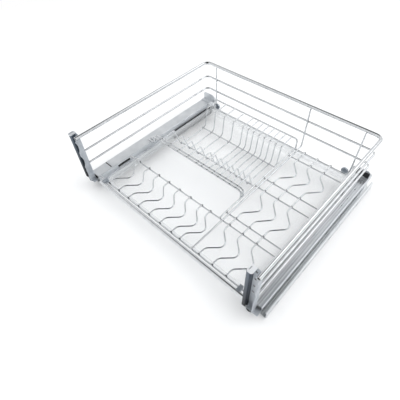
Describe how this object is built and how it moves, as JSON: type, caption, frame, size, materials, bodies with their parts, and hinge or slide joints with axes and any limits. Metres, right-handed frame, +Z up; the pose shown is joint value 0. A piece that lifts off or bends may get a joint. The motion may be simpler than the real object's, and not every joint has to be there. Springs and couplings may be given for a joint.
{
  "type": "pull-out dish rack",
  "caption": "Chrome wire pull-out dish rack for a base cabinet, with bowed plate wires, a lift-out plate insert, a clear drip tray and concealed slides.",
  "frame": {"origin": "middle of the footprint, on the surface that the slides stand on", "axes": "+Z up, +X to the right across the rack, -Y towards the front, where the basket comes out"},
  "size_m": [0.567, 0.472, 0.1704],
  "materials": {
    "chrome": "polished",
    "zinc_plate": "satin",
    "white_steel": "satin",
    "slide_steel": "satin",
    "tray_plastic": "gloss",
    "black_plastic": "matte",
    "cage_plastic": "matte"
  },
  "bodies": {
    "cabinet_side": {"fixed_member_left": "slide_steel", "fixed_member_right": "slide_steel", "damper_housing_left": "black_plastic", "damper_housing_right": "black_plastic"},
    "basket": {"top_rail": "chrome", "middle_rail": "chrome", "lower_rail": "chrome", "back_upright_left": "chrome", "back_upright_centre": "chrome", "back_upright_right": "chrome", "front_wire": "chrome", "bowl_back_wire": "chrome", "back_wire": "chrome", "partition_wire": "chrome", "rack_side_wire": "chrome", "front_bar": "chrome", "right_cross_wire_1": "chrome", "right_cross_wire_2": "chrome", "right_cross_wire_3": "chrome", "right_cross_wire_4": "chrome", "bowl_wire_1": "chrome", "bowl_wire_2": "chrome", "bowl_wire_3": "chrome", "bowl_wire_4": "chrome", "bowl_wire_5": "chrome", "bowl_wire_6": "chrome", "bowl_wire_7": "chrome", "bowl_wire_8": "chrome", "long_bowl_wire_1": "chrome", "long_bowl_wire_2": "chrome", "long_bowl_wire_3": "chrome", "front_clip_left": "zinc_plate", "front_clip_right": "zinc_plate", "front_bracket_left": "zinc_plate", "front_bracket_right": "zinc_plate", "rear_knob_left": "zinc_plate", "rear_knob_right": "zinc_plate", "side_channel_left": "white_steel", "side_channel_right": "white_steel", "rear_plate_left": "white_steel", "rear_plate_right": "white_steel", "bracket_cap_left": "white_steel", "bracket_cap_right": "white_steel", "moving_member_left": "slide_steel", "moving_member_right": "slide_steel", "lock_housing_left": "black_plastic", "lock_housing_right": "black_plastic", "rear_catch": "black_plastic", "tray_strip_left": "black_plastic", "tray_strip_right": "black_plastic"},
    "insert": {"plate_insert": "chrome"},
    "tray": {"drip_tray": "tray_plastic"},
    "lever_left": {"release_lever_left": "black_plastic"},
    "lever_right": {"release_lever_right": "black_plastic"},
    "middle_left": {"middle_beam_left": "slide_steel"},
    "middle_right": {"middle_beam_right": "slide_steel"},
    "lower_cage_left": {"lower_cage_left": "cage_plastic"},
    "lower_cage_right": {"lower_cage_right": "cage_plastic"},
    "upper_cage_left": {"upper_cage_left": "cage_plastic"},
    "upper_cage_right": {"upper_cage_right": "cage_plastic"}
  },
  "joints": [
    {"name": "basket_slide", "type": "slide", "parent": "cabinet_side", "child": "basket", "axis": [0, -1, 0], "range_m": [0, 0.4]},
    {"name": "middle_left_slide", "type": "slide", "parent": "cabinet_side", "child": "middle_left", "axis": [0, -1, 0], "range_m": [0, 0.2]},
    {"name": "lower_cage_left_slide", "type": "slide", "parent": "cabinet_side", "child": "lower_cage_left", "axis": [0, -1, 0], "range_m": [0, 0.1]},
    {"name": "upper_cage_left_slide", "type": "slide", "parent": "cabinet_side", "child": "upper_cage_left", "axis": [0, -1, 0], "range_m": [0, 0.3]},
    {"name": "middle_right_slide", "type": "slide", "parent": "cabinet_side", "child": "middle_right", "axis": [0, -1, 0], "range_m": [0, 0.2]},
    {"name": "lower_cage_right_slide", "type": "slide", "parent": "cabinet_side", "child": "lower_cage_right", "axis": [0, -1, 0], "range_m": [0, 0.1]},
    {"name": "upper_cage_right_slide", "type": "slide", "parent": "cabinet_side", "child": "upper_cage_right", "axis": [0, -1, 0], "range_m": [0, 0.3]},
    {"name": "insert_lift", "type": "slide", "parent": "basket", "child": "insert", "axis": [0, 0, 1], "range_m": [0, 0.12]},
    {"name": "tray_slide", "type": "slide", "parent": "basket", "child": "tray", "axis": [0, -1, 0], "range_m": [0, 0.045]},
    {"name": "lever_left_pivot", "type": "hinge", "parent": "basket", "child": "lever_left", "pos_m": [-0.24525, -0.122, 0.0324], "axis": [-1, 0, 0], "range_deg": [0, 5], "stiffness_Nm_per_rad": 0.02},
    {"name": "lever_right_pivot", "type": "hinge", "parent": "basket", "child": "lever_right", "pos_m": [0.24525, -0.122, 0.0324], "axis": [-1, 0, 0], "range_deg": [0, 5], "stiffness_Nm_per_rad": 0.02}
  ],
  "couplings": [
    {"joint": "middle_left_slide", "follows": "basket_slide", "ratio": 0.5},
    {"joint": "lower_cage_left_slide", "follows": "basket_slide", "ratio": 0.25},
    {"joint": "upper_cage_left_slide", "follows": "basket_slide", "ratio": 0.75},
    {"joint": "middle_right_slide", "follows": "basket_slide", "ratio": 0.5},
    {"joint": "lower_cage_right_slide", "follows": "basket_slide", "ratio": 0.25},
    {"joint": "upper_cage_right_slide", "follows": "basket_slide", "ratio": 0.75}
  ]
}
